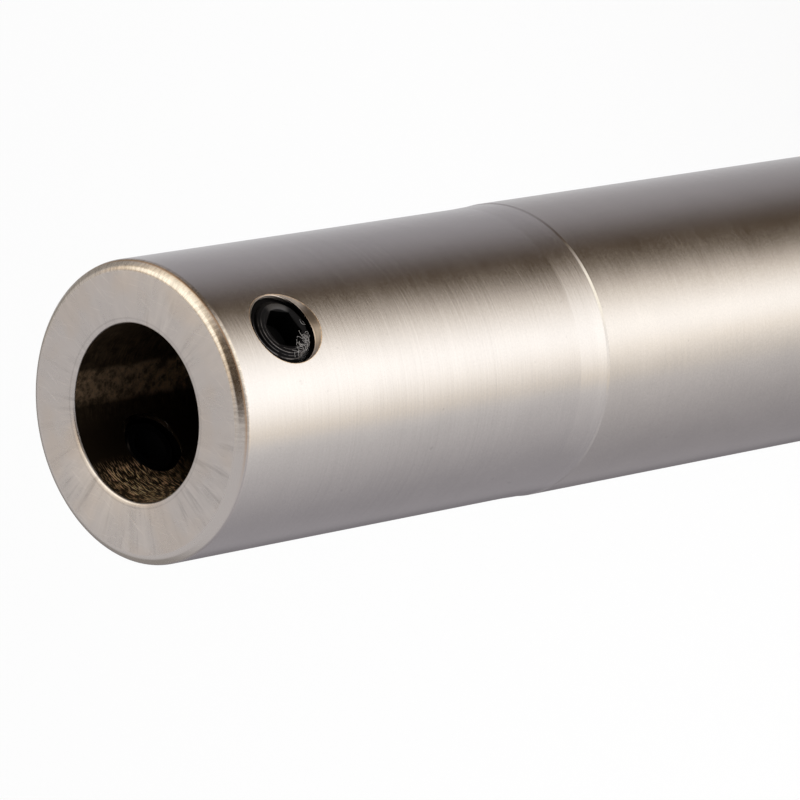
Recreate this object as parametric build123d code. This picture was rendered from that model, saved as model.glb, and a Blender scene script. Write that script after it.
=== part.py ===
from build123d import *
import math
import os

# A round boring bar that stands on its rear face: +Z runs along the bar towards the mouth of its tool
# socket, and the origin is the centre of the rear face. All lengths are in millimetres, angles in degrees.

# Shank
shank_diameter = 20.0
bar_length = 150.0
rear_chamfer = 1.0

# Head, ground a little smaller than the shank so that it clears the hole that is being bored
head_relief = 0.115
head_length = 34.0
shoulder_run = 0.3
mouth_chamfer = 0.5
mouth_edge_radius = 0.2

# Tool socket, bored blind from the mouth
socket_diameter = 11.6
socket_depth = 40.0
socket_lead = 0.35
drill_point_angle = 118.0

# Tapped holes for the clamping screws, opposite each other, drawn at their thread's major diameter
thread_diameter = 5.0
screw_station = 5.8
countersink_diameter = 5.7
countersink_angle = 90.0

# Hexagon socket set screws with a cup point
thread_clearance = 0.05
screw_length = 3.7
screw_recess = 0.25
screw_end_angle = 90.0
screw_top_diameter = 3.6
screw_point_diameter = 3.4
cup_diameter = 2.5
cup_angle = 118.0
hex_across_flats = 2.5
hex_depth = 1.7
hex_lead = 0.1
hex_floor_angle = 120.0
hex_turn = 16.0

shank_radius = shank_diameter / 2
head_radius = shank_radius - head_relief
socket_radius = socket_diameter / 2
hole_radius = thread_diameter / 2
screw_radius = hole_radius - thread_clearance


def cone_height(radius, full_angle):
    """Height of a cone with the given base radius and full point angle."""
    return radius / math.tan(math.radians(full_angle / 2))


def half_section(corners):
    """Flat half section in the XZ plane from (radius, height) corners."""
    return make_face(Polyline(*[(radius, 0, height) for radius, height in corners], close=True))


def soften(section, corners, radius):
    """The same half section with the given (radius, height) corners rounded."""
    places = [Vector(r, 0, z) for r, z in corners]
    picked = [v for v in section.vertices() if any((Vector(v) - p).length < 1e-6 for p in places)]
    return fillet(picked, radius)


def turned(section):
    """Solid of revolution of a half section about Z."""
    return revolve(section, Axis.Z, 360)


def plain_cone(base_radius, base_height, full_angle):
    """Cone about Z that points down from its flat base."""
    point = base_height - cone_height(base_radius, full_angle)
    return turned(half_section([(0, point), (base_radius, base_height), (0, base_height)]))


def bar_blank():
    """The turned bar: chamfered rear end, shank, shoulder, relieved head, mouth and bored socket."""
    mouth_rim = (head_radius - mouth_chamfer, bar_length)
    head_rim = (head_radius, bar_length - mouth_chamfer)
    shoulder = bar_length - head_length
    socket_floor = bar_length - socket_depth
    section = half_section([
        (0, 0),
        (shank_radius - rear_chamfer, 0),
        (shank_radius, rear_chamfer),
        (shank_radius, shoulder),
        (head_radius, shoulder + shoulder_run),
        head_rim,
        mouth_rim,
        (socket_radius + socket_lead, bar_length),
        (socket_radius, bar_length - socket_lead),
        (socket_radius, socket_floor),
        (0, socket_floor - cone_height(socket_radius, drill_point_angle)),
    ])
    return turned(soften(section, (head_rim, mouth_rim), mouth_edge_radius))


def screw_hole():
    """Cutter for one tapped hole, from the bar's axis out along Z, with its countersink."""
    shaft = turned(half_section([
        (0, 0),
        (hole_radius, 0),
        (hole_radius, shank_radius),
        (0, shank_radius),
    ]))
    slope = math.tan(math.radians(countersink_angle / 2))
    sink_radius = countersink_diameter / 2 + head_relief * slope
    return shaft + plain_cone(sink_radius, shank_radius, countersink_angle)


def on_side(side, shape):
    """A shape built along Z, turned to stand out of the bar's -Y side (1) or +Y side (-1)."""
    return Pos(0, 0, bar_length - screw_station) * Rot(90 * side, 0, 0) * shape


def bar_body():
    """The bar with its two tapped holes."""
    return bar_blank() - on_side(1, screw_hole()) - on_side(-1, screw_hole())


def hex_socket(top):
    """Cutter for the screw's hexagon socket: the prism, its drilled floor and the lead round its mouth."""
    flat = RegularPolygon(hex_across_flats / 2, 6, major_radius=False, rotation=hex_turn)
    floor = top - hex_depth
    mouth_radius = hex_across_flats / math.sqrt(3) + hex_lead
    prism = Pos(0, 0, floor) * extrude(flat, hex_depth)
    return prism + plain_cone(hex_across_flats / 2, floor, hex_floor_angle) + plain_cone(mouth_radius, top, 90)


def set_screw():
    """One set screw on the Z axis, at its height above the bar's axis, with its cup point down."""
    top = head_radius - screw_recess
    tip = top - screw_length
    top_radius = screw_top_diameter / 2
    point_radius = screw_point_diameter / 2
    blank = turned(half_section([
        (0, tip),
        (point_radius, tip),
        (screw_radius, tip + cone_height(screw_radius - point_radius, screw_end_angle)),
        (screw_radius, top - cone_height(screw_radius - top_radius, screw_end_angle)),
        (top_radius, top),
        (0, top),
    ]))
    cup_radius = cup_diameter / 2
    cup = Pos(0, 0, 2 * tip) * Rot(180, 0, 0) * plain_cone(cup_radius, tip, cup_angle)
    return blank - cup - hex_socket(top)


def main():
    os.makedirs("parts", exist_ok=True)
    nodes = {
        "bar_body": bar_body(),
        "front_set_screw": on_side(1, set_screw()),
        "rear_set_screw": on_side(-1, set_screw()),
    }
    for name, shape in nodes.items():
        export_step(shape, f"parts/{name}.step")


main()
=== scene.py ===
"""A ground steel boring bar with two set screws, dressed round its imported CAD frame.

The bar stands on its rear face at the origin, with +Z along it to the mouth of its tool socket.
Shapes are in metres. Materials work in millimetres, and the studio's panels in degrees.
"""

import math
import random

import bmesh
import bpy
from mathutils import Matrix, Vector


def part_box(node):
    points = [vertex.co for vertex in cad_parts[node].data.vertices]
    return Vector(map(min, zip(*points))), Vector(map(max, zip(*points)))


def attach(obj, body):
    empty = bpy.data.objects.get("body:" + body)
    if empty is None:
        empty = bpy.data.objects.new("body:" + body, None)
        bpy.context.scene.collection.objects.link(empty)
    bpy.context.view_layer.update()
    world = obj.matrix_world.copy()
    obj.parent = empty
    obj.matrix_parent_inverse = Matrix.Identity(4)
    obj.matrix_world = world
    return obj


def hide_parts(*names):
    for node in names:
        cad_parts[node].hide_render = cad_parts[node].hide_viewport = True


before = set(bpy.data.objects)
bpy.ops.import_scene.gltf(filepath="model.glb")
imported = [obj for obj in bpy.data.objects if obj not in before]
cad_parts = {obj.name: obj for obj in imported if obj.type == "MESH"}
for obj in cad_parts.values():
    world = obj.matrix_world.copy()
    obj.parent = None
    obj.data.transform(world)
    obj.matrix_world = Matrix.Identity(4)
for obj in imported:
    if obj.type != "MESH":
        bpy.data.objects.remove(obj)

bl_info = {
    "name": "Boring Bar",
    "version": (1, 0, 0),
    "blender": (4, 5, 0),
    "location": "3D Viewport > Sidebar > Boring Bar",
    "description": "Models a ground boring bar, its set screws and the studio it stands in",
    "category": "Object",
}

MM = 0.001
FULL_TURN = 2 * math.pi
DOUBLES = 1e-4 * MM  # vertices closer than this are merged
SHARP_FROM = math.radians(25)  # edges that turn by more than this stay sharp

BAR_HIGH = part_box("bar_body")[1]
BAR_LENGTH = BAR_HIGH.z
SCREW_LOW, SCREW_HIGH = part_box("front_set_screw")
SCREW_HEIGHT = (SCREW_LOW.z + SCREW_HIGH.z) / 2
SCREW_LENGTH = SCREW_HIGH.y - SCREW_LOW.y
SCREW_TOP = -SCREW_LOW.y


# ---------------------------------------------------------------- properties


def length_prop(name, description, default):
    """A length in metres that shows in the scene's own unit."""
    return bpy.props.FloatProperty(
        name=name, description=description, default=default,
        min=0.0, precision=5, unit="LENGTH", subtype="DISTANCE",
    )


def angle_prop(name, description, degrees):
    """An angle, given in degrees."""
    return bpy.props.FloatProperty(
        name=name, description=description, default=math.radians(degrees),
        unit="ROTATION", subtype="ANGLE",
    )


def colour_prop(name, description, default):
    """A linear colour."""
    return bpy.props.FloatVectorProperty(
        name=name, description=description, default=default,
        size=3, min=0.0, soft_max=1.0, subtype="COLOR",
    )


def amount_prop(name, description, default):
    """A plain number with no unit."""
    return bpy.props.FloatProperty(name=name, description=description, default=default, min=0.0)


def steps_prop(description, default):
    """How many flat facets stand for a round."""
    return bpy.props.IntProperty(
        name="Turning steps", description=description, default=default, min=24, max=720,
    )


class BoringBarSizes(bpy.types.PropertyGroup):
    """Sizes of the turned and ground bar."""

    shank_diameter: length_prop("Shank diameter", "Ground shank", 2 * BAR_HIGH.x)
    head_relief: length_prop("Head relief", "How much smaller the head's radius is", 0.115 * MM)
    head_length: length_prop("Head length", "Mouth face to shoulder", 34 * MM)
    shoulder_run: length_prop("Shoulder run", "Length of the shoulder's steep slope", 0.2 * MM)
    shoulder_drop: length_prop("Shoulder drop", "How far that slope goes in", 0.05 * MM)
    wheel_run_out: length_prop("Wheel run-out", "Length of the slight slope beyond it", 2.5 * MM)
    mouth_chamfer: length_prop("Mouth chamfer", "Leg of the chamfer at the mouth", 0.5 * MM)
    mouth_rounding: length_prop("Mouth rounding", "How far the mouth's edges are broken", 0.2 * MM)
    rear_chamfer: length_prop("Rear chamfer", "Leg of the chamfer at the rear end", 1.0 * MM)
    socket_diameter: length_prop("Socket diameter", "Bored tool socket", 11.6 * MM)
    socket_depth: length_prop("Socket depth", "Full bore's depth", 40 * MM)
    socket_lead: length_prop("Socket lead", "Width of the dished ring in the mouth", 0.35 * MM)
    dish_depth: length_prop("Dish depth", "How deep that ring is at its inner edge", 0.06 * MM)
    socket_rounding: length_prop("Socket rounding", "How far its rim is broken", 0.14 * MM)
    drill_angle: angle_prop("Drill point", "Full angle of the socket's floor", 118)
    turning_steps: steps_prop("Facets round the bar", 384)


class SetScrewSizes(bpy.types.PropertyGroup):
    """Sizes of the tapped holes and of the set screws in them."""

    countersink_diameter: length_prop("Countersink", "Diameter at the head's skin", 5.7 * MM)
    countersink_angle: angle_prop("Countersink angle", "Full angle of the countersink", 90)
    major_diameter: length_prop("Thread", "Major diameter of the tapped hole", 5.0 * MM)
    minor_diameter: length_prop("Thread core", "Minor diameter of the tapped hole", 4.134 * MM)
    pitch: length_prop("Pitch", "Advance of the thread in one turn", 0.8 * MM)
    thread_start: length_prop("Thread start", "Plain bore under the countersink", 0.35 * MM)
    plain_bore: length_prop("Plain bore", "Diameter of that bore", 4.92 * MM)
    clearance: length_prop("Clearance", "Gap between a screw's crests and its hole", 0.05 * MM)
    screw_core: length_prop("Screw core", "Minor diameter of the screw", 4.0 * MM)
    top_diameter: length_prop("Top face", "Flat at the screw's outer end", 3.6 * MM)
    point_diameter: length_prop("Point", "Diameter of the cup point's rim", 3.4 * MM)
    cup_diameter: length_prop("Cup", "Mouth of the cup point", 2.5 * MM)
    cup_angle: angle_prop("Cup angle", "Full angle of the cup", 118)
    hex_across_flats: length_prop("Hexagon", "Key size across the flats", 2.5 * MM)
    hex_depth: length_prop("Hexagon depth", "Depth of the key's socket", 1.7 * MM)
    hex_lead: length_prop("Hexagon lead", "Reach of its chamfer past the corners", 0.02 * MM)
    hex_lead_angle: angle_prop("Hexagon lead angle", "Full angle of that chamfer", 140)
    hex_floor_angle: angle_prop("Hexagon floor", "Full angle of the socket's floor", 120)
    hex_turn: angle_prop("Hexagon turn", "Where the first corner points", 16)
    turning_steps: steps_prop("Facets round a screw", 96)


class SteelFinish(bpy.types.PropertyGroup):
    """Colours and roughness of the bar and the screws."""

    steel: colour_prop("Ground head", "Bright ground skin of the head", (0.66, 0.645, 0.625))
    shank_steel: colour_prop("Ground shank", "Slightly straw shank", (0.652, 0.632, 0.602))
    faced_steel: colour_prop("Faced steel", "Turned and polished mouth face", (0.64, 0.615, 0.6))
    bore_steel: colour_prop("Bored steel", "Wall of the tool socket", (0.46, 0.33, 0.21))
    warm_steel: colour_prop("Warm steel", "Straw tinted patches", (0.66, 0.58, 0.5))
    gold_steel: colour_prop("Gold steel", "Straw tinted mouth chamfer", (0.7, 0.655, 0.6))
    orange_rim: colour_prop("Orange rim", "Burnt orange chamfer edge", (0.5, 0.3, 0.14))
    # Colour of the painted highlights along the countersink's edges.
    rim_painted_highlight: colour_prop("Rim highlight", "Golden edge of the countersink", (0.82, 0.62, 0.42))
    oxide: colour_prop("Black oxide", "Oiled black finish of the screws", (0.007, 0.007, 0.008))
    # Worn steel, also the colour of the painted highlights on the screws' arcs.
    worn_oxide_and_highlight: colour_prop("Worn oxide and highlight", "Worn rings of the screws", (0.3, 0.29, 0.29))
    wool: colour_prop("Metal wool", "Strands on the front screw", (0.55, 0.53, 0.52))
    skin_roughness: amount_prop("Skin roughness", "Ground skin", 0.2)
    face_roughness: amount_prop("Face roughness", "Mouth face", 0.3)


class StudioLight(bpy.types.PropertyGroup):
    """The studio that the steel reflects, and the camera."""

    camera_place: bpy.props.FloatVectorProperty(
        name="Camera", description="Where the camera stands", size=3,
        default=(-110.837 * MM, -265.377 * MM, 410.934 * MM), unit="LENGTH", subtype="TRANSLATION",
    )
    lens: bpy.props.FloatProperty(
        name="Lens", description="Focal length on a 36 mm sensor", default=273.57, unit="CAMERA",
    )
    floor_colour: colour_prop("Floor", "Pale floor", (0.94, 0.94, 0.94))
    wall: colour_prop("Walls", "Grey studio walls", (0.36, 0.34, 0.36))
    rear_wall: colour_prop("Rear wall", "Paler wall behind the bar", (0.8, 0.8, 0.82))
    ceiling: colour_prop("Ceiling", "Soft light from above", (0.64, 0.61, 0.6))
    fill: colour_prop("Fill", "Wide soft panel left of the camera", (0.84, 0.8, 0.79))
    key: colour_prop("Key softbox", "Tall warm softbox by the camera", (1.64, 1.58, 1.54))
    key_edge: colour_prop("Key edge", "Warm near edge of the softbox", (0.8, 0.68, 0.56))
    key_hem: colour_prop("Key hem", "Golden far edge of the softbox", (0.86, 0.68, 0.45))
    strip: colour_prop("Strip light", "Narrow light low in front", (1.55, 1.45, 1.25))
    side_key: colour_prop("Side softbox", "Warm softbox high on the right", (1.7, 1.6, 1.4))
    side_edge: colour_prop("Side edge", "Golden edge of that softbox", (0.8, 0.56, 0.33))
    skirting: colour_prop("Skirting", "Dark band on the rear walls", (0.34, 0.315, 0.29))
    corner: colour_prop("Corner", "Dark corner behind the bar", (0.1, 0.09, 0.1))
    gap: colour_prop("Dark places", "Gap beside the key, and the camera", (0.06, 0.035, 0.015))
    room_strength: amount_prop("Room", "Strength of the soft light all round", 0.78)
    lamp_power: bpy.props.FloatProperty(
        name="Lamp", description="Power of the overhead softbox", default=4.8, unit="POWER",
    )


# ------------------------------------------------------------ modelling tools


def deselect_all():
    """Object mode with nothing selected."""
    if bpy.context.object and bpy.context.object.mode != "OBJECT":
        bpy.ops.object.mode_set(mode="OBJECT")
    bpy.ops.object.select_all(action="DESELECT")


def activate(obj):
    """Selects one object and makes it the active one."""
    deselect_all()
    obj.select_set(True)
    bpy.context.view_layer.objects.active = obj


def rename(obj, name):
    """Names an object and its mesh alike."""
    obj.name = name
    obj.data.name = name


def begin(name):
    """Names the object that an operator has just added and goes into its edit mode."""
    obj = bpy.context.object
    rename(obj, name)
    bpy.ops.object.mode_set(mode="EDIT")
    return obj


def pick(obj, test):
    """Selects the vertices that pass the test, in edit mode, and says how many they are."""
    bpy.ops.mesh.select_mode(type="VERT")
    bpy.ops.mesh.select_all(action="DESELECT")
    mesh = bmesh.from_edit_mesh(obj.data)
    for vertex in mesh.verts:
        vertex.select = test(vertex.co)
    mesh.select_flush(True)
    bmesh.update_edit_mesh(obj.data)
    return sum(1 for vertex in mesh.verts if vertex.select)


def merge_doubles():
    """Selects the whole mesh, in edit mode, and merges its doubles."""
    bpy.ops.mesh.select_all(action="SELECT")
    bpy.ops.mesh.remove_doubles(threshold=DOUBLES)


def close_skin(obj):
    """Merges doubles, turns every face outwards and goes back to object mode."""
    merge_doubles()
    bpy.ops.mesh.select_all(action="SELECT")
    bpy.ops.mesh.normals_make_consistent(inside=False)
    bpy.ops.object.mode_set(mode="OBJECT")
    return obj


def draw_profile(name, corners):
    """A new object in edit mode whose mesh is a line through (radius, height) corners."""
    deselect_all()
    bpy.ops.mesh.primitive_plane_add(size=MM)
    obj = begin(name)
    bpy.ops.mesh.merge(type="CENTER")
    bpy.ops.mesh.select_mode(type="VERT")
    bpy.ops.mesh.select_all(action="SELECT")
    places = [Vector((radius, 0, height)) for radius, height in corners]
    bpy.ops.transform.translate(value=places[0])
    for here, there in zip(places, places[1:]):
        bpy.ops.mesh.extrude_region_move(TRANSFORM_OT_translate={"value": there - here})
    return obj


def round_corner(obj, corner, size):
    """Rounds the profile's corner at one (radius, height) place."""
    place = Vector((corner[0], 0, corner[1]))
    near = 1e-3 * MM
    if pick(obj, lambda co: (co - place).length < near) != 1:
        raise RuntimeError(f"{obj.name}: no single corner at {place}")
    bpy.ops.mesh.bevel(offset=size, segments=6, affect="VERTICES")


def turned(name, corners, steps, breaks=()):
    """A closed turned piece about Z from (radius, height) corners.

    Breaks are (corner, size) pairs, one for each corner to be rounded.
    """
    obj = draw_profile(name, corners)
    for corner, size in breaks:
        round_corner(obj, corner, size)
    bpy.ops.mesh.select_all(action="SELECT")
    bpy.ops.mesh.spin(steps=steps, angle=FULL_TURN, center=(0, 0, 0), axis=(0, 0, 1))
    return close_skin(obj)


def boolean(obj, tool, operation):
    """Applies one boolean of a tool shape to a piece, and uses the tool up."""
    activate(obj)
    modifier = obj.modifiers.new(operation.title(), "BOOLEAN")
    modifier.operation = operation
    modifier.object = tool
    modifier.solver = "EXACT"
    bpy.ops.object.modifier_apply(modifier=modifier.name)
    bpy.data.objects.remove(tool)
    bpy.ops.object.mode_set(mode="EDIT")
    merge_doubles()
    bpy.ops.object.mode_set(mode="OBJECT")


def place_on_side(obj, side):
    """Lays a shape that was built along Z onto the bar's -Y side (1) or +Y side (-1)."""
    activate(obj)
    obj.rotation_euler.x = side * math.pi / 2
    obj.location.z = SCREW_HEIGHT
    bpy.ops.object.transform_apply(location=True, rotation=True, scale=True)


def copy_of(obj, name):
    """A copy with its own mesh."""
    twin = obj.copy()
    twin.data = obj.data.copy()
    rename(twin, name)
    bpy.context.scene.collection.objects.link(twin)
    return twin


def cone_height(radius, full_angle):
    """Height of a cone with the given base radius and full point angle."""
    return radius / math.tan(full_angle / 2)


def threaded_rod(name, outer, inner, outer_flat, inner_flat, pitch, low, high, steps):
    """A rod about Z with a helical thread, cut flat at heights low and high."""
    flank = (pitch - outer_flat - inner_flat) / 2
    start = low - pitch - (low % pitch)
    top_of_flat = start + outer_flat / 2
    rod = draw_profile(name, [
        (outer, start - outer_flat / 2),
        (outer, top_of_flat),
        (inner, top_of_flat + flank),
        (inner, top_of_flat + flank + inner_flat),
        (outer, start - outer_flat / 2 + pitch),
    ])
    activate(rod)
    screw = rod.modifiers.new("Thread", "SCREW")
    screw.axis = "Z"
    screw.angle = FULL_TURN
    screw.screw_offset = pitch
    screw.iterations = math.ceil((high - start) / pitch) + 1
    screw.steps = steps
    screw.render_steps = steps
    screw.use_merge_vertices = True
    screw.merge_threshold = DOUBLES
    screw.use_smooth_shade = False
    bpy.ops.object.modifier_apply(modifier=screw.name)
    bpy.ops.object.mode_set(mode="EDIT")
    merge_doubles()
    for height, side in ((low, "clear_inner"), (high, "clear_outer")):
        bpy.ops.mesh.select_all(action="SELECT")
        bpy.ops.mesh.bisect(
            plane_co=(0, 0, height), plane_no=(0, 0, 1), use_fill=True, threshold=DOUBLES,
            **{side: True},
        )
    return close_skin(rod)


def smooth(obj):
    """Smooth shading across the flatter edges, led by the large faces."""
    activate(obj)
    bpy.ops.object.shade_smooth_by_angle(angle=SHARP_FROM)
    weighted = obj.modifiers.new("Face normals", "WEIGHTED_NORMAL")
    weighted.keep_sharp = True
    weighted.weight = 100
    bpy.ops.object.modifier_apply(modifier=weighted.name)


def shade_as_turned(obj, low, high):
    """Shades the turned faces between two heights as true rounds, whatever is cut in them."""
    off_round = 1e-4
    steepest = 0.3
    mesh = obj.data
    normals = [corner.vector.copy() for corner in mesh.corner_normals]
    for face in mesh.polygons:
        middle = face.center
        outward = face.normal.xy.dot(middle.xy.normalized())
        is_round = face.normal.xy.length - abs(outward) < off_round
        if not (is_round and abs(face.normal.z) < steepest and low < middle.z < high):
            continue
        for index in face.loop_indices:
            place = mesh.vertices[mesh.loops[index].vertex_index].co
            normals[index] = (place.xy.normalized() * outward).to_3d()
            normals[index].z = face.normal.z
    mesh.normals_split_custom_set(normals)


def dress(obj, material):
    """Gives a piece its one material."""
    obj.data.materials.clear()
    obj.data.materials.append(material)


# ------------------------------------------------------------- shader tools


class Wire:
    """A shader socket that can stand in a Python expression."""

    def __init__(self, graph, socket):
        self.graph = graph
        self.socket = socket

    def math(self, operation, *others):
        """One Math node on this value and others."""
        values = dict(enumerate((self, *others)))
        return self.graph.node("ShaderNodeMath", {"operation": operation}, values)

    def __add__(self, other):
        return self.math("ADD", other)

    __radd__ = __add__

    def __mul__(self, other):
        return self.math("MULTIPLY", other)

    __rmul__ = __mul__

    def __sub__(self, other):
        return self.math("SUBTRACT", other)

    def __rsub__(self, other):
        return self.graph.node("ShaderNodeMath", {"operation": "SUBTRACT"}, {0: other, 1: self})

    def __truediv__(self, other):
        return self.math("DIVIDE", other)

    def __pow__(self, other):
        return self.math("POWER", other)

    def __abs__(self):
        return self.math("ABSOLUTE")

    def sibling(self, name):
        """Another output of the same node."""
        return Wire(self.graph, self.socket.node.outputs[name])

    def above(self, other):
        """1 where this value is above the other."""
        return self.math("GREATER_THAN", other)

    def below(self, other):
        """1 where this value is below the other."""
        return self.math("LESS_THAN", other)

    def at_most(self, other):
        """The smaller of this value and the other."""
        return self.math("MINIMUM", other)

    def at_least(self, other):
        """The larger of this value and the other."""
        return self.math("MAXIMUM", other)

    def swing(self, amount):
        """Noise from 0 to 1 as a change to both sides of 0, by half the amount."""
        return (self - 0.5) * amount

    def fade(self, start, stop):
        """Goes smoothly from 0 at start to 1 at stop, which may be the lower of the two."""
        settings = {"interpolation_type": "SMOOTHSTEP"}
        return self.graph.node("ShaderNodeMapRange", settings, {0: self, 1: start, 2: stop})

    def between(self, low, high, edge):
        """1 between two values, with soft edges outside them."""
        return self.fade(low - edge, low) * self.fade(high + edge, high)


class Graph:
    """The nodes of one material or world."""

    def __init__(self, owner):
        owner.use_nodes = True
        self.tree = owner.node_tree
        self.tree.nodes.clear()

    def node(self, kind, settings=None, values=None, output=0):
        """Adds a node, sets its settings and then its sockets, and returns one output."""
        node = self.tree.nodes.new(kind)
        for key, value in (settings or {}).items():
            setattr(node, key, value)
        for key, value in (values or {}).items():
            if isinstance(value, Wire):
                self.tree.links.new(value.socket, node.inputs[key])
            else:
                node.inputs[key].default_value = value
        return Wire(self, node.outputs[output]) if len(node.outputs) else node

    def mix(self, factor, first, second):
        """Goes from the first colour to the second with the factor."""
        paint = [v if isinstance(v, Wire) else (*v, 1) for v in (first, second)]
        values = {0: factor, 6: paint[0], 7: paint[1]}
        return self.node("ShaderNodeMix", {"data_type": "RGBA"}, values, output=2)

    def layered(self, colour, *layers):
        """Lays (mask, colour) pairs over a colour, one after the other."""
        for mask, paint in layers:
            colour = self.mix(mask, colour, paint)
        return colour

    def scaled(self, colour, amount):
        """A colour made darker or lighter by an amount that varies."""
        paint = colour if isinstance(colour, Wire) else tuple(colour)
        return self.node("ShaderNodeVectorMath", {"operation": "SCALE"}, {0: paint, 3: amount})

    def noise(self, x, y, z, detail=2.0, roughness=0.5):
        """Smooth noise from 0 to 1, the same each time."""
        vector = self.node("ShaderNodeCombineXYZ", None, {0: x, 1: y, 2: z})
        values = {"Vector": vector, "Scale": 1.0, "Detail": detail, "Roughness": roughness}
        return self.node("ShaderNodeTexNoise", {"noise_dimensions": "3D"}, values)

    def split(self, vector):
        """The x, y and z of a vector."""
        x = self.node("ShaderNodeSeparateXYZ", None, {0: vector})
        return x, x.sibling("Y"), x.sibling("Z")

    def place(self):
        """x, y and z of the Object coordinates, in millimetres."""
        here = self.node("ShaderNodeTexCoord").sibling("Object")
        return [part * (1 / MM) for part in self.split(here)]

    def bump(self, height, distance):
        """A normal that follows a height, of which 1 is the distance in metres."""
        values = {"Strength": 1.0, "Distance": distance, "Height": height}
        return self.node("ShaderNodeBump", None, values)

    def surface(self, kind, values):
        """Ends a material in one shader of the kind."""
        shader = self.node(kind, None, values)
        self.node("ShaderNodeOutputMaterial", None, {"Surface": shader})


def dimmed(colour, amount):
    """A plain colour made darker or lighter."""
    return tuple(part * amount for part in colour)


def new_material(name):
    """A material and its empty graph."""
    material = bpy.data.materials.new(name)
    return material, Graph(material)


# ---------------------------------------------------------------- materials

LINE_HEIGHT = 0.0016 * MM  # a ground line's relief
MARK_HEIGHT = 0.002 * MM  # a tool mark's relief on the screws


def head_radius(sizes):
    """Radius of the relieved head."""
    return sizes.shank_diameter / 2 - sizes.head_relief


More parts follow.
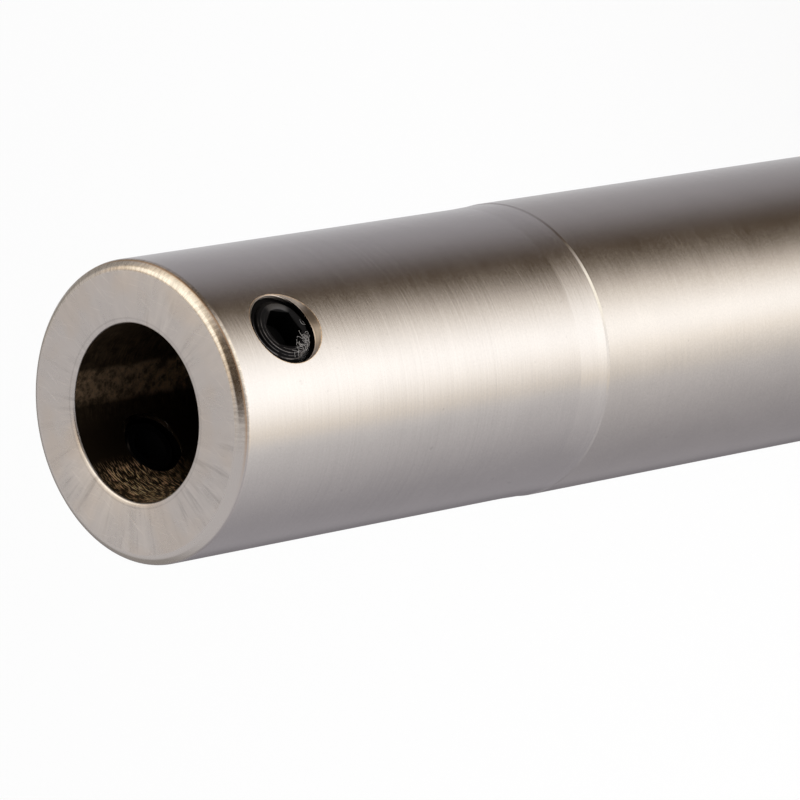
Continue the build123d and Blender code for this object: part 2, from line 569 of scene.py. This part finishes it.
def ground_steel_material(sizes, screws, finish):
    """Ground skin, faced mouth, bored socket and machined holes, told apart by place."""
    material, g = new_material("ground_steel")
    x, y, z = g.place()
    up = z - SCREW_HEIGHT / MM
    depth = BAR_LENGTH / MM - z
    radius = (x * x + y * y) ** 0.5
    round_x, round_y = x / radius, y / radius
    across = (x * x + up * up) ** 0.5
    reach = abs(y)

    def toward(degrees):
        """Cosine of the angle between a place on the bar and a direction round it."""
        way = math.radians(degrees)
        return round_x * math.cos(way) + round_y * math.sin(way)

    def wound(around, along, **grade):
        """Noise round the bar, whose second value runs along it or out from its axis."""
        return g.noise(round_x * around, round_y * around, along, **grade)

    def lumps(scale, **grade):
        """Noise that is alike in all directions."""
        return g.noise(x * scale, y * scale, z * scale, **grade)

    # The bar's own sizes, to which each limit below adds its margin.
    head = head_radius(sizes) / MM
    shoulder = sizes.head_length / MM
    chamfer = sizes.mouth_chamfer / MM
    chamfer_end = chamfer + sizes.mouth_rounding / MM
    face_edge = head - chamfer_end
    wall = sizes.socket_diameter / 2 / MM
    dish = wall + sizes.socket_lead / MM
    tap = screws.major_diameter / 2 / MM
    countersink = screws.countersink_diameter / 2 / MM
    plain_bore = screws.plain_bore / 2 / MM
    sink_point = head - cone_height(countersink, screws.countersink_angle)
    shelf = sink_point + cone_height(plain_bore, screws.countersink_angle)
    thread = shelf - screws.thread_start / MM

    # Where each machined surface is.
    lip = depth.below(0.2) * radius.below(dish + 0.15)
    face = (depth.below(0.01) * radius.below(face_edge - 0.015)).at_least(lip)
    bore = radius.below(wall + 0.1) * (1 - lip)
    rim = radius.fade(face_edge - 0.065, face_edge + 0.015)
    rim = rim * depth.fade(chamfer_end + 0.08, chamfer_end - 0.08)
    head_skin = depth.fade(shoulder + 0.2, shoulder - 0.2)
    off_cone = across - (reach - sink_point)
    tapped = across.below(tap + 0.03) * reach.below(shelf - 0.004)
    tapped = tapped * reach.above(wall + 0.1) * (1 - bore)
    sink = abs(off_cone).below(0.03) * across.below(countersink + 0.1) * reach.above(shelf - 0.004)

    # The ground skin: fine lines round it and one old ring, with a painted highlight band on the
    # wheel's soft run-out.
    lines = wound(3.0, z * 5.2, detail=4.0, roughness=0.62)
    long_lines = wound(1.2, z * 2.1)
    rings = wound(0.4, z * 6.0, detail=1.0)
    grain = lumps(7.0, roughness=0.7)
    mottle = g.noise(x * 0.45, y * 0.45, z * 0.3, detail=3.0)
    specks = lumps(1.9, detail=1.0).fade(0.74, 0.84)
    run_out_painted_highlight = depth.fade(shoulder - 1.15, shoulder - 0.85)
    run_out_painted_highlight = run_out_painted_highlight * depth.fade(shoulder - 0.2, shoulder - 0.34)
    ringed = depth.fade(2.0, 9.0) * depth.fade(29.0, 22.0)
    old_ring = depth.between(shoulder + 3.35, shoulder + 3.45, 0.12)
    skin_tone = (
        0.97 + mottle.swing(0.1) + grain.swing(0.16) - specks * 0.12
        + run_out_painted_highlight * 0.03 + old_ring * 0.012 + rings.swing(0.09) * ringed
        # Painted light nearer the mouth and painted shade further down the bar.
        + depth.fade(16.0, 4.0) * 0.03 - depth.fade(44.0, 74.0) * 0.05
    )
    skin = g.mix(head_skin, finish.shank_steel, finish.steel)

    # The mouth face: radial fans in patches, crossing scratches and a painted shade line at the
    # edge of the dished ring.
    fans = wound(9.0, radius * 0.25, detail=4.0, roughness=0.7)
    fan_lines = wound(17.0, radius * 0.2).fade(0.56, 0.7)
    fan_patches = g.noise(x * 0.22, y * 0.22, 3.0, detail=1.0).fade(0.42, 0.6) + 0.3
    scratches = g.noise((x + y) * 0.35, (x - y) * 5.0, 1.0).fade(0.6, 0.72)
    crossing = g.noise((x * 0.3 - y) * 5.0, (x + y * 0.3) * 0.35, 7.0).fade(0.6, 0.72)
    scratches = scratches + crossing
    straw = g.noise(x * 0.3, y * 0.3, 9.0).fade(0.45, 0.68)
    dish_edge_painted_shade = radius.between(dish - 0.05, dish + 0.02, 0.04)
    face_tone = (
        0.98 + fans.swing(0.4) * fan_patches - fan_lines * fan_patches * 0.12
        + scratches * 0.07 + mottle.swing(0.08) - dish_edge_painted_shade * 0.12
    )
    faced = g.mix(straw * 0.35, finish.faced_steel, finish.warm_steel)

    # The mouth chamfer: coarse feed marks and a gold tint on one side, orange towards its outer
    # edge there.
    feed = wound(46.0, z * 2.4, detail=3.0, roughness=0.65).fade(0.3, 0.7)
    gold_side = toward(-48).fade(-0.05, 0.35)
    rim_steel = g.mix(gold_side, finish.faced_steel, finish.gold_steel)
    rim_tone = 1.0 + gold_side * (feed * 0.3 - 0.24)
    orange_edge = toward(-70).fade(0.1, 0.8) * radius.fade(head - 0.2, head - 0.05)
    orange_edge = orange_edge * depth.fade(chamfer + 0.02, chamfer - 0.05) * (1 - bore)

    # The socket, painted dark as shade: hairs and haze lighter on one side as painted light, a
    # brown band of painted glow, and short golden hairs with painted glints near the mouth.
    hairs = wound(6.0, z * 8.5, detail=3.0, roughness=0.65).fade(0.5, 0.7)
    haze = lumps(1.4, detail=4.0, roughness=0.7).fade(0.35, 0.65)
    # Painted glow of light bounced inside the socket.
    painted_glow_band = toward(45).fade(0.972, 0.991)
    # Painted light on one side of the socket, showing its haze and hair marks.
    painted_light_side = toward(25).fade(0.6, 0.95)
    # Short hair marks, painted bright as glints near the mouth on one side.
    hairs_and_painted_glints = toward(126).fade(0.83, 0.95) * wound(12.0, z * 13.0).fade(0.5, 0.65)
    # Painted shade: the socket's wall is painted near-black, with painted light added on top.
    bore_painted_shade_and_light = (
        0.1 + painted_glow_band * (0.2 + haze * 0.9) + haze * painted_light_side * 0.14 + hairs * painted_light_side * 0.16
        + hairs_and_painted_glints * depth.fade(9.0, 3.0) * depth.fade(-0.6, 1.8) * 2.7
    )

    # The holes: painted shade in the tapped bore, painted light on the thread's ridges on one side
    # where it starts, turned rings, and painted highlights along the countersink's edges.
    entry = tapped * across.above(plain_bore - 0.02) * reach.above(thread + 0.01)
    lit_side = (x * 0.95 + up * 0.31).fade(0.9, 2.1)
    steps = g.noise(reach * 7.0, x * 0.3, z * 0.3, detail=1.0).fade(0.42, 0.58)
    # Painted light on the thread's ridges on the lit side.
    painted_lit_ridges = entry * lit_side * (0.3 + steps * 0.7)
    turned_rings = g.noise(across * 9.0, x * 0.6, z * 0.6)
    # Painted highlight along the countersink's inner edge.
    inner_edge_painted_highlight = across.fade(plain_bore + 0.07, plain_bore + 0.03)
    # Painted highlight along the countersink's outer edge, uneven with the grain.
    outer_edge_painted_highlight = radius.fade(head - 0.05, head - 0.02) * grain.fade(0.35, 0.6)
    sink_tone = 0.42 + turned_rings * 0.5 + grain.swing(0.25) + inner_edge_painted_highlight * 0.5
    sunk = g.mix(outer_edge_painted_highlight * 0.8, g.scaled(finish.warm_steel, sink_tone), finish.rim_painted_highlight)
    # Painted highlight on the skin round the countersink's rim.
    rim_painted_highlight = off_cone.between(0.02, 0.035, 0.01) * across.below(countersink + 0.15)
    rim_painted_highlight = rim_painted_highlight * radius.above(head - 0.01)

    colour = g.layered(
        g.scaled(skin, skin_tone),
        (face, g.scaled(faced, face_tone)),
        (rim, g.scaled(rim_steel, rim_tone)),
        (orange_edge * 0.85, finish.orange_rim),
        (bore, g.scaled(finish.bore_steel, bore_painted_shade_and_light)),
        # Painted shade: the tapped bore is painted near-black in the screws' oxide colour.
        (tapped, dimmed(finish.oxide, 0.8)),
        (painted_lit_ridges, dimmed(finish.warm_steel, 1.3)),
        (sink, sunk),
        (rim_painted_highlight * 0.6, finish.rim_painted_highlight),
    )
    roughness = (
        finish.skin_roughness + mottle.swing(0.06) + grain.swing(0.12) + long_lines.swing(0.06)
        + face * (finish.face_roughness - finish.skin_roughness + fans.swing(0.15))
        + rim * 0.05 + bore * 0.3 + sink * 0.12 + tapped * 0.15
    )
    skin_relief = lines * (0.8 + head_skin * 1.6) + long_lines * 2.0 + grain * 0.3 * head_skin
    relief = (
        skin_relief * (1 - face) * (1 - bore) * (1 - sink) * (1 - rim)
        + face * (fans * 2.0 + scratches) + rim * gold_side * feed * 0.9
        + bore * hairs_and_painted_glints * 12.0 + sink * turned_rings * 1.5
    )
    g.surface("ShaderNodeBsdfPrincipled", {
        "Base Color": colour, "Metallic": 1 - painted_lit_ridges * 0.9, "Roughness": roughness,
        "Normal": g.bump(relief, LINE_HEIGHT), "Anisotropic": 0.5, "Anisotropic Rotation": 0.25,
    })
    return material


# Arcs round a screw's hexagon, worn and painted as highlights: inner and outer radius, soft edge
# and strength.
WORN_AND_LIT_ARCS = (
    (1.53, 1.54, 0.02, 0.7),
    (1.78, 1.8, 0.02, 1.0),
    (1.93, 1.94, 0.02, 0.5),
    (2.08, 2.1, 0.03, 0.7),
    (2.3, 2.32, 0.03, 0.8),
)


def black_oxide_material(screws, finish):
    """Oiled black oxide over fine turned rings, worn to dark steel on the edges, with painted
    highlights on arcs on the lit side and painted shade in the key's socket.
    """
    material, g = new_material("black_oxide")
    x, y, z = g.place()
    up = z - SCREW_HEIGHT / MM
    across = (x * x + up * up) ** 0.5
    sunk = SCREW_TOP / MM - abs(y)
    key_corner = screws.hex_across_flats / math.sqrt(3) / MM
    top_edge = screws.top_diameter / 2 / MM
    outer = sunk.below(0.9)
    key_socket = across.below(key_corner + 0.027) * sunk.above(0.05) * sunk.below(2.2)
    tool_marks = g.noise(across * 10.0, x * 0.5, up * 0.5)
    blotches = g.noise(x * 2.0, y * 2.0, z * 2.0, detail=3.0)

    def toward(to_right, upward):
        """How far a place lies to one side of the screw, from -1 to 1."""
        return (x * to_right + up * upward) / across

    def net(scale, seed):
        """Thin lines that wander like fine wire."""
        return g.noise(x * scale, seed, up * scale, detail=1.0).between(0.49, 0.51, 0.015)

    # Arcs worn and painted as highlights on the lit side, a glossy patch, and fine wool stuck to
    # the front chamfer.
    arcs = sum(across.between(*ring) * strength for *ring, strength in WORN_AND_LIT_ARCS)
    arc_light = 0.04 + toward(-0.714, 0.7).fade(0.1, 0.9) * 0.96
    patch = toward(0.99, -0.14).fade(0.78, 0.96) * outer * across.between(1.45, 1.75, 0.08)
    crest_wear = across.above(2.36) * 0.35 * blotches.fade(0.3, 0.6)
    fluff = net(2.2, 3.0) + net(3.4, 8.0) + blotches.fade(0.5, 0.7) * 0.25
    fluff = fluff * toward(-0.755, -0.656).fade(0.8, 0.93) * across.above(top_edge) * y.below(0.0)
    wear_and_highlights = outer * arcs * arc_light * blotches.fade(0.3, 0.55) + patch * 0.12 + crest_wear
    wear_and_highlights = (wear_and_highlights + fluff * 1.2).at_most(1.0)
    # Painted shade: the key's socket is painted darker.
    tone = (tool_marks * 0.8 + 0.6) * (1 - key_socket * 0.7)
    gloss = (patch + wear_and_highlights + sunk.above(0.7) * 0.6).at_most(1.0) * (1 - key_socket)
    colour = g.mix(wear_and_highlights * (1 - key_socket), g.scaled(finish.oxide, tone), finish.worn_oxide_and_highlight)
    roughness = 0.6 - gloss * 0.36 + blotches.swing(0.12)
    g.surface("ShaderNodeBsdfPrincipled", {
        "Base Color": colour, "Metallic": 0.75, "Roughness": roughness,
        "Normal": g.bump(tool_marks, MARK_HEIGHT), "Specular IOR Level": 0.2,
        "Coat Weight": 0.03 + gloss * 0.3, "Coat Roughness": 0.12,
    })
    return material


def wool_material(finish):
    """Bright strands with darker stretches."""
    material, g = new_material("metal_wool")
    x, y, z = g.place()
    patches = g.noise(x * 4.0, y * 4.0, z * 4.0)
    g.surface("ShaderNodeBsdfPrincipled", {
        "Base Color": g.scaled(finish.wool, 0.15 + patches * 1.4),
        "Metallic": 0.5, "Roughness": 0.4 + patches * 0.2,
    })
    return material


def floor_material(light):
    """Matt pale floor."""
    material, g = new_material("floor")
    g.surface("ShaderNodeBsdfDiffuse", {"Color": (*light.floor_colour, 1)})
    return material


# ----------------------------------------------------------------- operators

# Where the view's right and top point, and how far the camera sees.
CAMERA_RIGHT = Vector((-0.42499375, -0.57429938, -0.69968602))
CAMERA_UP = Vector((0.86428662, -0.48719924, -0.12508209))
CAMERA_CLIP = (0.01, 50)
FLOOR_SIZE = 12
FLOOR_DROP = 0.01 * MM
LAMP_PLACE = (-0.35, -0.15, 1.1)
LAMP_WIDTH = 0.8


class BORINGBAR_OT_stage(bpy.types.Operator):
    """Camera, pale floor and soft studio"""

    bl_idname = "boring_bar.stage"
    bl_label = "Studio"

    def execute(self, context):
        light = context.scene.boring_bar_light
        self.add_camera(context, light)
        self.add_floor(context, light)
        self.add_lamp(context, light)
        self.build_world(context, light)
        context.scene.view_settings.view_transform = "Standard"
        return {"FINISHED"}

    def add_camera(self, context, light):
        """The camera looks down on the mouth from the front left."""
        deselect_all()
        bpy.ops.object.camera_add(location=light.camera_place)
        camera = context.object
        camera.name = "camera"
        turn = Matrix((CAMERA_RIGHT, CAMERA_UP, CAMERA_RIGHT.cross(CAMERA_UP))).transposed()
        camera.rotation_euler = turn.to_euler()
        camera.data.lens = light.lens
        camera.data.clip_start, camera.data.clip_end = CAMERA_CLIP
        context.scene.camera = camera

    def add_floor(self, context, light):
        """A wide pale floor just under the bar."""
        deselect_all()
        bpy.ops.mesh.primitive_plane_add(size=FLOOR_SIZE, location=(0, 0, -FLOOR_DROP))
        floor = context.object
        floor.name = "floor"
        dress(floor, floor_material(light))
        floor.visible_glossy = False

    def add_lamp(self, context, light):
        """A soft lamp overhead, which the steel doesn't mirror."""
        deselect_all()
        bpy.ops.object.light_add(type="AREA", location=LAMP_PLACE)
        lamp = context.object
        lamp.name = "overhead_softbox"
        lamp.data.shape = "DISK"
        lamp.data.size = LAMP_WIDTH
        lamp.data.energy = light.lamp_power
        lamp.rotation_euler = (-lamp.location).to_track_quat("-Z", "Y").to_euler()
        lamp.visible_glossy = False

    def build_world(self, context, light):
        """White for the camera, the studio for glossy rays and even room light for the rest."""
        world = bpy.data.worlds.new("studio")
        world.cycles.sampling_method = "NONE"
        context.scene.world = world
        g = Graph(world)

        def background(colour, strength=1.0):
            """Light from all round in a colour."""
            values = {"Color": colour, "Strength": strength}
            return g.node("ShaderNodeBackground", None, values)

        white = (1, 1, 1, 1)
        studio = background(self.studio_colour(g, light))
        room = background(white, light.room_strength)
        camera_ray = g.node("ShaderNodeLightPath")
        glossy_ray = camera_ray.sibling("Is Glossy Ray")
        clear_ray = camera_ray.at_least(camera_ray.sibling("Is Transmission Ray"))
        lit = g.node("ShaderNodeMixShader", None, {0: glossy_ray, 1: room, 2: studio})
        seen = g.node("ShaderNodeMixShader", None, {0: clear_ray, 1: lit, 2: background(white)})
        g.node("ShaderNodeOutputWorld", None, {"Surface": seen})

    def studio_colour(self, g, light):
        """Walls, ceiling, softboxes and dark places, by azimuth from the camera and elevation."""
        x, y, z = g.split(g.node("ShaderNodeTexCoord"))
        camera_side = math.atan2(light.camera_place[1], light.camera_place[0])
        azimuth = y.math("ARCTAN2", x) * math.degrees(1) - math.degrees(camera_side)
        azimuth = azimuth.math("WRAP", 180.0, -180.0)
        elevation = z.math("ARCSINE") * math.degrees(1)
        ahead = x * math.cos(camera_side) + y * math.sin(camera_side)
        aside = y * math.cos(camera_side) - x * math.sin(camera_side)

        # The key softbox leans, so its right and left sides move with the elevation.
        right = azimuth - (elevation.fade(-50, -38) * 22 - 11)
        left = azimuth - elevation.fade(-43.5, -50.5) * 18
        low = elevation.fade(-6, -26)
        key = left.fade(-50, -8) * right.fade(50, 5) * low
        key_surround = left.fade(-120, -18) * right.fade(66, 30) * low
        hem = g.mix(left.fade(-44, -30), light.fill, light.key_hem)
        edge = g.mix(azimuth.fade(-30, 20), hem, light.key_edge)
        gap = right.fade(34, 57) * azimuth.fade(118, 62) * elevation.fade(24, 8)

        ceiling = elevation.fade(-14, 2)
        rear_wall = (azimuth.fade(104, 206) + azimuth.fade(-172, -190)) * low
        corner = abs(azimuth + 166).fade(24, 6) * low
        skirting = abs(azimuth).fade(104, 138) * elevation.fade(24, 6) * elevation.fade(-28, -18)
        strip = azimuth.fade(-6, 24) * azimuth.fade(54, 38)
        strip = strip * elevation.fade(-30, -22) * elevation.fade(4, -8)
        camera = (ahead * 0.62 + aside * 0.25 + z * 0.74).fade(0.86, 0.93)
        high_right = z * 0.765 + aside * 0.61 - ahead * 0.2
        return g.layered(
            g.mix(ceiling, light.wall, light.ceiling),
            (rear_wall, light.rear_wall),
            (corner * 0.6, light.corner),
            (skirting, light.skirting),
            (gap, light.gap),
            (key_surround, edge),
            (key, light.key),
            (strip, light.strip),
            (camera, light.gap),
            (high_right.fade(0.76, 0.85), light.side_edge),
            (high_right.fade(0.82, 0.91), light.side_key),
        )


class BORINGBAR_OT_bar(bpy.types.Operator):
    """The ground bar with its socket and tapped holes"""

    bl_idname = "boring_bar.bar"
    bl_label = "Bar"

    def execute(self, context):
        sizes = context.scene.boring_bar_sizes
        screws = context.scene.boring_bar_screws
        finish = context.scene.boring_bar_finish
        bar = self.turn_blank(sizes)
        for side in (1, -1):
            self.tap_hole(bar, sizes, screws, side)
        smooth(bar)
        rounded_end = BAR_LENGTH - sizes.mouth_chamfer - sizes.mouth_rounding
        shade_as_turned(bar, sizes.rear_chamfer, rounded_end)
        dress(bar, ground_steel_material(sizes, screws, finish))
        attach(bar, "bar")
        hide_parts("bar_body")
        return {"FINISHED"}

    def turn_blank(self, sizes):
        """The turned bar: rear end, shank, shoulder, head, mouth and bored socket."""
        shank = sizes.shank_diameter / 2
        head = head_radius(sizes)
        bore = sizes.socket_diameter / 2
        shoulder = BAR_LENGTH - sizes.head_length
        floor = BAR_LENGTH - sizes.socket_depth
        head_rim = (head, BAR_LENGTH - sizes.mouth_chamfer)
        mouth_rim = (head - sizes.mouth_chamfer, BAR_LENGTH)
        socket_rim = (bore, BAR_LENGTH - sizes.dish_depth)
        corners = [
            (0, 0),
            (shank - sizes.rear_chamfer, 0),
            (shank, sizes.rear_chamfer),
            (shank, shoulder),
            (shank - sizes.shoulder_drop, shoulder + sizes.shoulder_run),
            (head, shoulder + sizes.shoulder_run + sizes.wheel_run_out),
            head_rim,
            mouth_rim,
            (bore + sizes.socket_lead, BAR_LENGTH),
            socket_rim,
            (bore, floor),
            (0, floor - cone_height(bore, sizes.drill_angle)),
        ]
        return turned("ground_bar", corners, sizes.turning_steps, (
            (head_rim, sizes.mouth_rounding),
            (mouth_rim, sizes.mouth_rounding),
            (socket_rim, sizes.socket_rounding),
        ))

    def tap_hole(self, bar, sizes, screws, side):
        """Taps one hole from the side into the socket, and countersinks it."""
        outside = sizes.shank_diameter / 2 + 1 * MM
        inside = sizes.socket_diameter / 2 - 2 * MM
        crest_flat, root_flat = screws.pitch / 8, screws.pitch / 4
        tap = threaded_rod(
            "tap", screws.major_diameter / 2, screws.minor_diameter / 2,
            crest_flat, root_flat, screws.pitch, inside, outside, screws.turning_steps,
        )
        place_on_side(tap, side)
        boolean(bar, tap, "DIFFERENCE")
        sink_depth = cone_height(screws.countersink_diameter / 2, screws.countersink_angle)
        point = head_radius(sizes) - sink_depth
        slope = math.tan(screws.countersink_angle / 2)
        mouth = screws.plain_bore / 2
        shelf = point + mouth / slope
        sink = turned("countersink", [
            (0, shelf - screws.thread_start),
            (mouth, shelf - screws.thread_start),
            (mouth, shelf),
            ((outside - point) * slope, outside),
            (0, outside),
        ], screws.turning_steps * 2)
        place_on_side(sink, side)
        boolean(bar, sink, "DIFFERENCE")


class BORINGBAR_OT_screws(bpy.types.Operator):
    """The two hexagon socket set screws"""

    bl_idname = "boring_bar.screws"
    bl_label = "Set screws"

    def execute(self, context):
        screws = context.scene.boring_bar_screws
        pattern = self.model_screw(screws)
        oxide = black_oxide_material(screws, context.scene.boring_bar_finish)
        for side, node in ((1, "front"), (-1, "rear")):
            screw = copy_of(pattern, f"{node}_threaded_screw")
            place_on_side(screw, side)
            smooth(screw)
            dress(screw, oxide)
            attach(screw, f"{node}_screw")
            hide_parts(f"{node}_set_screw")
        bpy.data.objects.remove(pattern)
        return {"FINISHED"}

    def model_screw(self, screws):
        """One screw along Z at its height over the bar's axis, with its cup point down."""
        steps = screws.turning_steps
        crest = screws.major_diameter / 2 - screws.clearance
        root = screws.screw_core / 2
        top = SCREW_TOP
        tip = top - SCREW_LENGTH
        over = 0.5 * MM
        crest_flat = 0.098 * MM
        flank_angle = math.radians(30)
        flank = (crest - root) * math.tan(flank_angle)
        root_flat = screws.pitch - crest_flat - 2 * flank
        screw = threaded_rod(
            "set_screw", crest, root, crest_flat, root_flat, screws.pitch,
            tip - over, top + over, steps,
        )
        top_radius = screws.top_diameter / 2
        point_radius = screws.point_diameter / 2
        cup_radius = screws.cup_diameter / 2
        wide = crest + over
        blank = turned("screw_blank", [
            (0, tip + cone_height(cup_radius, screws.cup_angle)),
            (cup_radius, tip),
            (point_radius, tip),
            (wide, tip + wide - point_radius),
            (wide, top - wide + top_radius),
            (top_radius, top),
            (0, top),
        ], steps)
        boolean(screw, blank, "INTERSECT")
        self.broach_hexagon(screw, screws, top)
        return screw

    def broach_hexagon(self, screw, screws, top):
        """Cuts the key's socket: hexagon, drilled floor and lead."""
        floor = top - screws.hex_depth
        over = 0.3 * MM
        flat_radius = screws.hex_across_flats / 2
        corner_radius = screws.hex_across_flats / math.sqrt(3)
        half_side = math.radians(30)
        deselect_all()
        bpy.ops.mesh.primitive_cylinder_add(
            vertices=6, radius=corner_radius, depth=screws.hex_depth + over,
            location=(0, 0, (floor + top + over) / 2), rotation=(0, 0, screws.hex_turn - half_side),
        )
        prism = bpy.context.object
        activate(prism)
        bpy.ops.object.transform_apply(location=True, rotation=True, scale=True)
        boolean(screw, prism, "DIFFERENCE")
        drill = turned("drill", [
            (0, floor - cone_height(flat_radius, screws.hex_floor_angle)),
            (flat_radius, floor),
            (flat_radius, floor + over),
            (0, floor + over),
        ], screws.turning_steps // 2)
        boolean(screw, drill, "DIFFERENCE")
        lead_radius = corner_radius + screws.hex_lead
        slope = math.tan(screws.hex_lead_angle / 2)
        lead = turned("lead", [
            (0, top - lead_radius / slope),
            (lead_radius + over * slope, top + over),
            (0, top + over),
        ], screws.turning_steps)
        boolean(screw, lead, "DIFFERENCE")


class BORINGBAR_OT_wool(bpy.types.Operator):
    """Fine metal wool that clings to the front screw beside its socket"""

    bl_idname = "boring_bar.wool"
    bl_label = "Metal wool"

    STRANDS = 44
    SEED = 11
    SIDE = math.radians(-139)  # where the wool clings, round the screw
    SPREAD = 0.36  # in radians, to both sides of that
    NEAREST, THICKEST, FURTHEST = 1.2, 1.8, 2.03  # from the screw's axis, in millimetres
    PILE = 0.16 * MM  # how far strands stand off the screw
    SHORTEST_STEP, LONGEST_STEP = 0.08, 0.2  # from point to point, in millimetres
    SHARPEST_TURN = 1.2  # in radians, at each point
    THINNEST, COARSEST = 0.007, 0.016  # a strand's radius, in millimetres

    def execute(self, context):
        screws = context.scene.boring_bar_screws
        chance = random.Random(self.SEED)
        strands = [self.strand(screws, chance) for _ in range(self.STRANDS)]
        deselect_all()
        for strand in strands:
            strand.select_set(True)
        context.view_layer.objects.active = strands[0]
        bpy.ops.object.join()
        bpy.ops.object.convert(target="MESH")
        wool = context.object
        rename(wool, "metal_wool")
        activate(wool)
        bpy.ops.object.mode_set(mode="EDIT")
        close_skin(wool)
        bpy.ops.object.shade_smooth()
        dress(wool, wool_material(context.scene.boring_bar_finish))
        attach(wool, "front_screw")
        return {"FINISHED"}

    def strand(self, screws, chance):
        """One curved strand that lies on the screw's outer face and chamfer."""
        deselect_all()
        bpy.ops.curve.primitive_nurbs_path_add()
        path = bpy.context.object
        angle = self.SIDE + chance.gauss(0, self.SPREAD)
        reach = chance.triangular(self.NEAREST, self.FURTHEST, self.THICKEST) * MM
        heading = chance.uniform(0, FULL_TURN)
        here = Vector((reach * math.cos(angle), reach * math.sin(angle)))
        for point in path.data.splines[0].points:
            here = here.normalized() * min(here.length, self.FURTHEST * MM)
            drop = max(0.0, here.length - screws.top_diameter / 2)
            lift = SCREW_TOP - drop + chance.uniform(0.0, 1.0) * self.PILE
            point.co = (here.x, -lift, SCREW_HEIGHT + here.y, 1)
            heading += chance.uniform(-self.SHARPEST_TURN, self.SHARPEST_TURN)
            step = chance.uniform(self.SHORTEST_STEP, self.LONGEST_STEP) * MM
            here = here + Vector((math.cos(heading), math.sin(heading))) * step
        path.data.bevel_depth = chance.uniform(self.THINNEST, self.COARSEST) * MM
        path.data.bevel_resolution = 1
        path.data.resolution_u = 4
        path.data.use_fill_caps = True
        return path


class BORINGBAR_PT_panel(bpy.types.Panel):
    """Lists the steps that make the bar, and its sizes, finish and light"""

    bl_label = "Boring Bar"
    bl_idname = "BORINGBAR_PT_panel"
    bl_space_type = "VIEW_3D"
    bl_region_type = "UI"
    bl_category = "Boring Bar"

    def draw(self, context):
        for step in STEPS:
            self.layout.operator(step)
        for name in GROUPS:
            box = self.layout.box()
            group = getattr(context.scene, name)
            box.label(text=group.bl_rna.name)
            for key in group.__annotations__:
                box.prop(group, key)


STEPS = ("boring_bar.stage", "boring_bar.bar", "boring_bar.screws", "boring_bar.wool")
GROUPS = {
    "boring_bar_sizes": BoringBarSizes,
    "boring_bar_screws": SetScrewSizes,
    "boring_bar_finish": SteelFinish,
    "boring_bar_light": StudioLight,
}
CLASSES = (
    *GROUPS.values(),
    BORINGBAR_OT_stage,
    BORINGBAR_OT_bar,
    BORINGBAR_OT_screws,
    BORINGBAR_OT_wool,
    BORINGBAR_PT_panel,
)


def register():
    """Registers the classes and hangs their properties on the scene."""
    for cls in CLASSES:
        bpy.utils.register_class(cls)
    for name, group in GROUPS.items():
        setattr(bpy.types.Scene, name, bpy.props.PointerProperty(type=group))


def unregister():
    """Takes the properties and the classes away again."""
    for name in GROUPS:
        delattr(bpy.types.Scene, name)
    for cls in reversed(CLASSES):
        bpy.utils.unregister_class(cls)


def main():
    """Builds everything."""
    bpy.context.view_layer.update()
    register()
    bpy.ops.boring_bar.stage()
    bpy.ops.boring_bar.bar()
    bpy.ops.boring_bar.screws()
    bpy.ops.boring_bar.wool()


if __name__ == "__main__":
    main()
